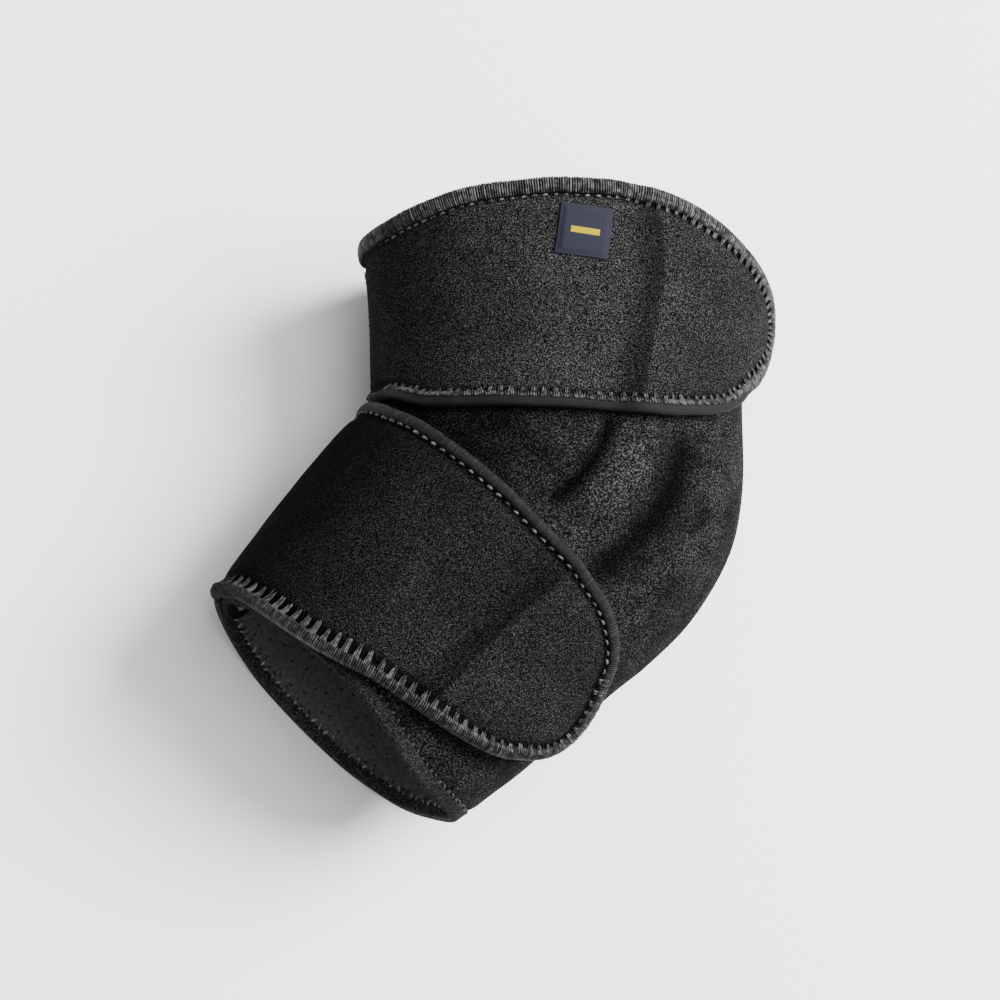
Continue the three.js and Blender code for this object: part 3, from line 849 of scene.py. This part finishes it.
def roll(name, edge, lift, width, tall, power, material, underside_painted_light):
    """The closed core of an edge, with a width at each run along it, and with painted light
    as asked for underneath the arm, where it lies in shade."""
    run = np.append(np.arange(0, edge.length, CORE_STEP), edge.length)
    angle = np.linspace(0, 360, CORE_SIDES, endpoint=False)
    distance, high = oval(angle, width(run)[:, None], tall, power)
    points = edge.point(run[:, None], distance, high, lift)
    index = np.arange(len(run) * CORE_SIDES).reshape(len(run), CORE_SIDES)
    a, b = index[:-1], np.roll(index[:-1], -1, 1)
    c, d = index[1:], np.roll(index[1:], -1, 1)
    faces = np.stack([a, c, d, b], -1).reshape(-1, 4).tolist()
    faces += [index[0].tolist(), index[-1, ::-1].tolist()]
    obj = new_object(name, points, faces, [material])
    under = ease((edge.place(run, 0)[0] - UNDER_TURN) / UNDER_FADE)
    set_shade(obj, np.repeat(1 + (underside_painted_light - 1) * under, CORE_SIDES))
    return obj


def padded_wall(name, edge, lift, rows, outside, shade_at):
    """Cloth that runs under its edging and is pressed down beside it."""
    turn, along = edge.columns(EDGING_WIDTH - TUCK, rows)
    gap, run = edge.gap(turn, along)
    gap = gap - EDGING_WIDTH
    pressed = DENT * np.exp(-((np.maximum(gap, 0) / DENT_WIDTH) ** 2))
    raised = lift(turn, along)
    uv = np.stack([turn.ravel() * TURN_LENGTH, along.ravel()], 1)
    obj = wall(name, turn, along, raised + pressed / 3, raised + WALL - pressed, [outside, LINING], uv)
    # the outside takes painted shade and painted light; the inside keeps its own colour
    shade = shade_at(turn, along, gap, run)
    set_shade(obj, np.concatenate([shade.ravel(), np.ones(shade.size)]))
    return obj


def piece(obj, slot, *nodes):
    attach(obj, "root")
    if nodes:
        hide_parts(*nodes)
    return obj


def panel_shade(turn, along, gap, _run):
    """Painted shade in the panel's grooves, along its front seam's crease, beside its hem and
    towards the crook, and painted light on the channel's ridge.
    """
    shade = 1 - HEM_SHADE * np.exp(-np.maximum(gap, 0) ** 2)
    clear = ease((turn - CROOK_SHADE_END) / CROOK_SHADE_FADE)
    shade = shade * (CROOK_SHADE + (1 - CROOK_SHADE) * clear)
    for groove in (FRONT_SEAM, ELBOW_DENT):
        shade = shade * (1 - GROOVE_SHADE * np.exp(-fold_gap(groove, turn, along) ** 2))
    line = np.exp(-((SEAM_LINE * fold_gap(FRONT_SEAM, turn, along)) ** 2))
    raised = np.exp(-fold_gap(CHANNEL, turn, along) ** 2)
    return shade * (1 - SEAM_LINE_SHADE * line) * (1 + CHANNEL_LIGHT * raised)


# The panel
turn, tops, bottoms = panel_edges()
free = np.linspace(tops[-1], bottoms[-1], FREE_STEPS)[1:-1]
panel_edge = Edge(
    np.concatenate([turn, np.full(len(free), turn[-1]), turn[::-1]]),
    np.concatenate([tops, free, bottoms[::-1]]),
    len(turn),
)
sleeve = piece(
    padded_wall("sleeve_cloth", panel_edge, no_lift, PANEL_ROWS, PANEL_CLOTH, panel_shade),
    "neoprene_cloth", "sleeve",
)
# painted light lifts the hem's underside, which lies in the straps' shade
hem = piece(
    roll("sleeve_hem", panel_edge, no_lift, hem_width, WALL, HEM_POWER, HEM, underside_painted_light=2.5),
    "overlock_thread", "sleeve_edging",
)


def hem_stitches():
    """Short stitches that cross the hem's inner border, outside and inside."""
    margin = 3
    slant = 0.5
    past_border = 0.1
    rise = 0.7
    sunk = 0.25  # how deep the ends lie under the face
    thin, thick = 0.25, 0.5  # radius at the ends and in the middle
    outside = (WALL - DENT, 1, 0.75)  # height of the face, the way out of it, half length
    inside = (DENT / 3, -1, 1.2)
    # the stitches outside are dimmed; painted light lifts those inside, which lie in the sleeve's
    # shade
    tones = (0.35, 3.0)
    run = np.arange(margin, panel_edge.length - margin, HEM_STITCH)[:, None]
    lean = np.where(np.arange(len(run)) % 2, slant, -slant)[:, None]
    spread = np.linspace(-1, 1, 7)
    arch = 1 - spread ** 2
    paths = []
    for face, out, half in (outside, inside):
        distance = EDGING_WIDTH + past_border + half * spread
        high = face + out * (rise * arch - sunk)
        paths.append(panel_edge.point(run + lean * spread, distance, high, no_lift))
    side = panel_edge.heading(run, EDGING_WIDTH, no_lift)
    return threads("sleeve_hem_stitches", np.concatenate(paths), np.concatenate([side, side]),
                   thin + (thick - thin) * arch, np.repeat(tones, len(run)), MORE_SIDES)


hem_thread = piece(hem_stitches(), "overlock_thread")


def seam_stitches():
    """Flat zigzag over the joins between the panel and its straps."""
    half_width = 2.1
    rise = 0.12
    dip = 0.5  # how far the ends go down into the cloth
    radius = 0.22
    tone = 0.7
    upper_margin, forearm_margin = 7.0, 4.5
    spread = np.linspace(-1, 1, 9)
    turn = SEAM_TURN + half_width * spread / TURN_LENGTH
    high = WALL + rise - dip * spread ** 8
    paths, sides = [], []
    joins = ((upper_edge_at(0), upper_margin), (forearm_edge_at(0), forearm_margin))
    for (top, bottom), margin in joins:
        along = np.arange(top + margin, bottom - margin, SEAM_STITCH)[:, None]
        for way in (1, -1):
            place = along + way * spread * SEAM_STITCH / 2
            paths.append(skin(turn, place, high))
            sides.append(outward(turn, place))
    return threads("seam_stitches", np.concatenate(paths), np.concatenate(sides), radius, tone,
                   FEW_SIDES)


seams = piece(seam_stitches(), "overlock_thread")


# The straps
class Stitching:
    """Overlocking along a strap's edge, from a table over the edge's run."""

    def __init__(self, edge, lift, columns, pitch, rng):
        self.edge = edge
        self.lift = lift
        self.columns = columns
        self.pitch = pitch
        self.rng = rng

    def read(self, run, name):
        return np.interp(run / self.edge.length, self.columns["share"], self.columns[name])

    def width(self, run):
        return self.read(run, "width")

    def vary(self, values, low, high):
        """The values, each times its own random number."""
        return values * self.rng.uniform(low, high, len(values))

    def wraps(self, name):
        """Threads laid side by side over the edge."""
        jitter = 0.09
        first, last = 0.5, 0.4  # from the edge's two ends
        slants = (0.1, 0.45)
        rise, dip = 0.6, 0.9  # shares of a thread's radius
        thinner = 0.3  # share of its radius that a thread loses at its ends
        run = np.arange(first, self.edge.length - last, WRAP_PITCH)
        run = run + self.rng.uniform(-jitter, jitter, len(run))
        radius = self.vary(self.read(run, "wrap"), 0.85, 1.15)[:, None]
        end = (WRAP_END - WRAP_LONG * self.read(run, "whole"))[:, None]
        share = np.linspace(0, 1, 11)
        middle = 2 * share - 1
        angle = WRAP_START + (end - WRAP_START) * share
        proud = radius * (rise - dip * middle ** 8)
        width = self.width(run)[:, None]
        distance, high = oval(angle, width, WALL + EDGING_RISE, EDGING_POWER, proud)
        slant = self.rng.uniform(*slants, len(run))[:, None] * (share - 0.5)
        paths = self.edge.point(run[:, None] + slant, distance, high, self.lift)
        side = self.edge.heading(run[:, None], distance, self.lift)
        tone = self.vary(self.read(run, "wrap_tone"), 0.25, 1.55)
        return threads(name, paths, side, radius * (1 - thinner * middle ** 4), tone, FEW_SIDES)

    def teeth(self, name):
        """Threads that reach in from the edge in pointed groups, to where the needle went in."""
        jitter = 0.25
        slip = 0.2
        shortest = 0.4
        spreads = (-0.24, -0.08, 0.08, 0.24)  # of a group's threads, as shares of the pitch
        closing = 0.5  # share by which a group draws together at its point
        root = 0.62  # where a tooth starts, as a share of the edging's width
        above = 0.1  # its start above the edging
        dip = 0.5  # its end into the cloth
        radius, thinner = 0.25, 0.05
        run = np.arange(self.pitch, self.edge.length - self.pitch / 2, self.pitch)
        run = run + self.rng.uniform(-jitter, jitter, len(run))
        length = self.vary(self.read(run, "tooth"), 0.75, 1.2)
        run, length = run[length > shortest], length[length > shortest]
        width = self.width(run)[:, None]
        start = root * width
        share = np.linspace(0, 1, 9)
        fall = (EDGING_RISE + 0.15) * ease((share - 0.1) / 0.5)
        high = WALL + EDGING_RISE + above - fall - dip * share ** 6
        paths, sides, tones = [], [], []
        for spread in spreads:
            tones.append(self.vary(self.read(run, "tooth_tone"), 0.25, 1.4))
            own = self.vary(length, 0.65, 1.1)[:, None]
            distance = start + (width + own - start) * share
            slipped = self.rng.uniform(-slip, slip, len(run))[:, None] * share
            at = run[:, None] + self.pitch * spread * (1 - closing * share) + slipped
            paths.append(self.edge.point(at, distance, high, self.lift))
            sides.append(self.edge.heading(at, distance, self.lift))
        return threads(name, np.concatenate(paths), np.concatenate(sides), radius - thinner * share,
                       np.concatenate(tones), FEW_SIDES)

    def needle(self, name):
        """Separate stitches in a row beside the edge."""
        thinnest = 0.12
        halves = (0.2, 0.3)  # a stitch's half length, as a share of the pitch
        beside = 0.4  # from the edging to the middle of the row
        lean = 0.12
        sunk = 0.2  # how deep the ends lie under the face
        rise = 0.8
        thinner = 0.4  # share of its radius that a stitch loses at its ends
        run = np.arange(self.pitch, self.edge.length - self.pitch / 2, self.pitch)
        radius = self.vary(self.read(run, "needle"), 0.85, 1.15)
        run, radius = run[radius > thinnest], radius[radius > thinnest]
        spread = np.linspace(-1, 1, 7)
        distance = self.width(run)[:, None] + beside + lean * spread
        high = WALL - DENT - sunk + rise * (1 - spread ** 4)
        half = self.rng.uniform(*halves, len(run))[:, None] * self.pitch
        at = run[:, None] + half * spread
        paths = self.edge.point(at, distance, high, self.lift)
        heading = self.edge.heading(at, distance, self.lift)
        side = unit(np.cross(outward(*self.edge.place(at, distance)), heading))
        tone = self.vary(self.read(run, "tooth_tone"), 0.6, 1.3)
        radius = radius[:, None] * (1 - thinner * spread ** 4)
        return threads(name, paths, side, radius, tone, MORE_SIDES)


def make_strap(name, turn_length, edge_at, stitching, pitch, slant, light_and_shade, seed):
    """A strap's cloth, its other pieces, and how far it is lifted off the layer below. slant is
    the turn that its hook line loses for each millimetre down the arm."""
    turn, tops, bottoms = strap_edges(turn_length, edge_at)
    edge = Edge(
        np.concatenate([turn, turn[-2::-1]]),
        np.concatenate([bottoms, tops[-2::-1]]),
        len(turn) - 1,
    )
    tip = SEAM_TURN + turn_length

    def hook_line(along):
        return HOOK_TURN - slant * (along - HOOK_MIDDLE)

    def lift(turn, along):
        past = turn - hook_line(along)
        over_hooks = HOOK_LIFT * ease((past + HOOK_LEVEL + HOOK_STEP) / HOOK_STEP)
        return over_hooks + TAB_FLARE * ease(past / (tip - HOOK_TURN))

    def shade_at(turn, along, gap, run):
        """Painted shade among the teeth and on the slope where the strap climbs over its hooks,
        painted light past that slope, and painted shade and light across the strap by its turn.
        """
        teeth = TEETH_SHARE * thread.read(run, "tooth") + TEETH_MARGIN
        beside = 1 - TEETH_SHADE * ease((teeth - gap) / TEETH_FADE)
        tone = read(light_and_shade, "tone", (turn - SEAM_TURN) / turn_length)
        past = turn - hook_line(along) + HOOK_LEVEL
        climb = 1 - CLIMB_SHADE * ease(1 + past / (CLIMB_REACH * HOOK_STEP)) * (past < 0)
        return beside * tone * climb * (1 + TAB_LIGHT * ease(past / TAB_FADE))

    thread = Stitching(edge, lift, stitching, pitch, np.random.default_rng(seed))
    cloth = piece(
        padded_wall(name + "_cloth", edge, lift, STRAP_ROWS, STRAP_CLOTH, shade_at),
        "neoprene_cloth", name,
    )
    core = piece(
        roll(name + "_edging_core", edge, lift, thread.width, WALL + EDGING_RISE, EDGING_POWER, CORE,
             underside_painted_light=1),
        "overlock_thread", name + "_edging",
    )
    wraps = piece(thread.wraps(name + "_edging_wraps"), "overlock_thread")
    teeth = piece(thread.teeth(name + "_edging_teeth"), "overlock_thread")
    needle = piece(thread.needle(name + "_edging_needle"), "overlock_thread")
    turn, along = edge.columns(EDGING_WIDTH + HOOK_MARGIN, HOOK_ROWS, hook_line)
    raised = lift(turn, along)
    uv = np.stack([turn.ravel() * TURN_LENGTH, along.ravel()], 1)
    hooks = piece(
        wall(name + "_hooks", turn, along, raised - HOOK_LIFT, raised - LAYER_GAP, [HOOK, HOOK], uv),
        "hook_tape", name + "_hook_pad",
    )
    return cloth, [core, wraps, teeth, needle, hooks], lift


upper_cloth, upper_parts, upper_lift = make_strap(
    "upper_strap", UPPER_STRAP_TURN, upper_edge_at, UPPER_STITCHING, UPPER_PITCH,
    slant=0.16, light_and_shade=UPPER_LIGHT_AND_SHADE, seed=11,
)
forearm_cloth, forearm_parts, _ = make_strap(
    "forearm_strap", FOREARM_STRAP_TURN, forearm_edge_at, FOREARM_STITCHING, FOREARM_PITCH,
    slant=0, light_and_shade=FOREARM_LIGHT_AND_SHADE, seed=12,
)


# The label
def make_label():
    """A tag laid flat on the upper strap, with its rim bent down to the cloth."""
    share = (LABEL_TURN - SEAM_TURN) / UPPER_STRAP_TURN
    middle = upper_edge_at(share)[0] + LABEL_DROP + LABEL_HEIGHT / 2
    normal = outward(LABEL_TURN, middle)
    tilt = math.radians(LABEL_ANGLE)
    level = np.array([math.cos(tilt), -math.sin(tilt), 0])
    across = unit(level - (level @ normal) * normal)
    turn_across, along_across = rates(LABEL_TURN, middle, across)
    turn_down, along_down = rates(LABEL_TURN, middle, np.cross(across, normal))
    u, v = np.meshgrid(
        np.linspace(-0.5, 0.5, LABEL_STEPS) * LABEL_WIDTH,
        np.linspace(-0.5, 0.5, LABEL_ROWS) * LABEL_HEIGHT,
        indexing="ij",
    )
    turn = LABEL_TURN + u * turn_across + v * turn_down
    along = middle + u * along_across + v * along_down
    rim = np.minimum(LABEL_WIDTH / 2 - np.abs(u), LABEL_HEIGHT / 2 - np.abs(v))
    under = WALL + LAYER_GAP * ease(rim / LABEL_TUCK) + upper_lift(turn, along)
    line = LABEL_LINE * np.exp(-((rim - LABEL_LINE_AT) / LABEL_LINE_WIDTH) ** 2)
    uv = np.stack([u.ravel(), v.ravel()], 1)
    return wall("label_tag", turn, along, under, under + LABEL_THICKNESS - line, [LABEL, LABEL], uv)


tag = piece(make_label(), "woven_label", "label")


# Floor, light and camera, in metres unless a comment says otherwise
FLOOR_HALF = 3000  # millimetres
FLOOR_GREY = (0.94, 0.94, 0.94, 1)
WORLD_GREY = (0.93, 0.93, 0.93, 1)
WORLD_STRENGTH = 0.62
CAMERA_TILT = 16  # degrees from straight above
CAMERA_SIDE = (-0.88, -0.47)  # the way it leans, towards the crook
CAMERA_AIM = (56.0, -40.0, 45.0)  # millimetres from the bend's centre
CAMERA_DISTANCE = 1.0
SENSOR = 36  # millimetres
LENS = 3.3 * SENSOR
CAMERA_SHIFT = (-0.048, 0.0322)

# Lamps look at the brace. Power is in watts
Lamp = namedtuple("Lamp", "name place power size")
LAMPS = [
    Lamp("key", (1.2, 0.45, 1.5), 150, 1.3),
    Lamp("top", (0.2, 0.2, 1.9), 22, 1.2),
]


def floor():
    look = Look("floor")
    look.shader.inputs["Base Color"].default_value = FLOOR_GREY
    look.shader.inputs["Roughness"].default_value = 0.9
    corners = np.array([(-1, -1, 0), (1, -1, 0), (1, 1, 0), (-1, 1, 0)]) * FLOOR_HALF
    obj = new_object("floor", corners, [(0, 1, 2, 3)], [look.material])


def look_matrix(eye, back):
    """A camera or lamp at eye whose -Z looks against back, with +Y kept up the picture."""
    back = Vector(back).normalized()
    right = Vector((0, 1, 0)).cross(back).normalized()
    up = back.cross(right)
    return Matrix((
        (right.x, up.x, back.x, eye[0]),
        (right.y, up.y, back.y, eye[1]),
        (right.z, up.z, back.z, eye[2]),
        (0, 0, 0, 1),
    ))


def camera():
    tilt = math.radians(CAMERA_TILT)
    side = unit(np.array(CAMERA_SIDE)) * math.sin(tilt)
    back = np.array([*side, math.cos(tilt)])
    aim = (np.array(CAMERA_AIM) - CENTRE) * MM
    data = bpy.data.cameras.new("camera")
    data.sensor_width = SENSOR
    data.lens = LENS
    data.shift_x, data.shift_y = CAMERA_SHIFT
    data.clip_end = 20
    obj = bpy.data.objects.new("camera", data)
    bpy.context.scene.collection.objects.link(obj)
    obj.matrix_world = look_matrix(aim + back * CAMERA_DISTANCE, back)
    bpy.context.scene.camera = obj


def light(lamp):
    data = bpy.data.lights.new(lamp.name, "AREA")
    data.energy = lamp.power
    data.shape = "DISK"
    data.size = lamp.size
    obj = bpy.data.objects.new(lamp.name, data)
    bpy.context.scene.collection.objects.link(obj)
    obj.matrix_world = look_matrix(lamp.place, lamp.place)


def surroundings():
    world = bpy.data.worlds.new("studio")
    world.use_nodes = True
    background = world.node_tree.nodes["Background"]
    background.inputs["Color"].default_value = WORLD_GREY
    background.inputs["Strength"].default_value = WORLD_STRENGTH
    bpy.context.scene.world = world


floor()
for lamp in LAMPS:
    light(lamp)
surroundings()
camera()
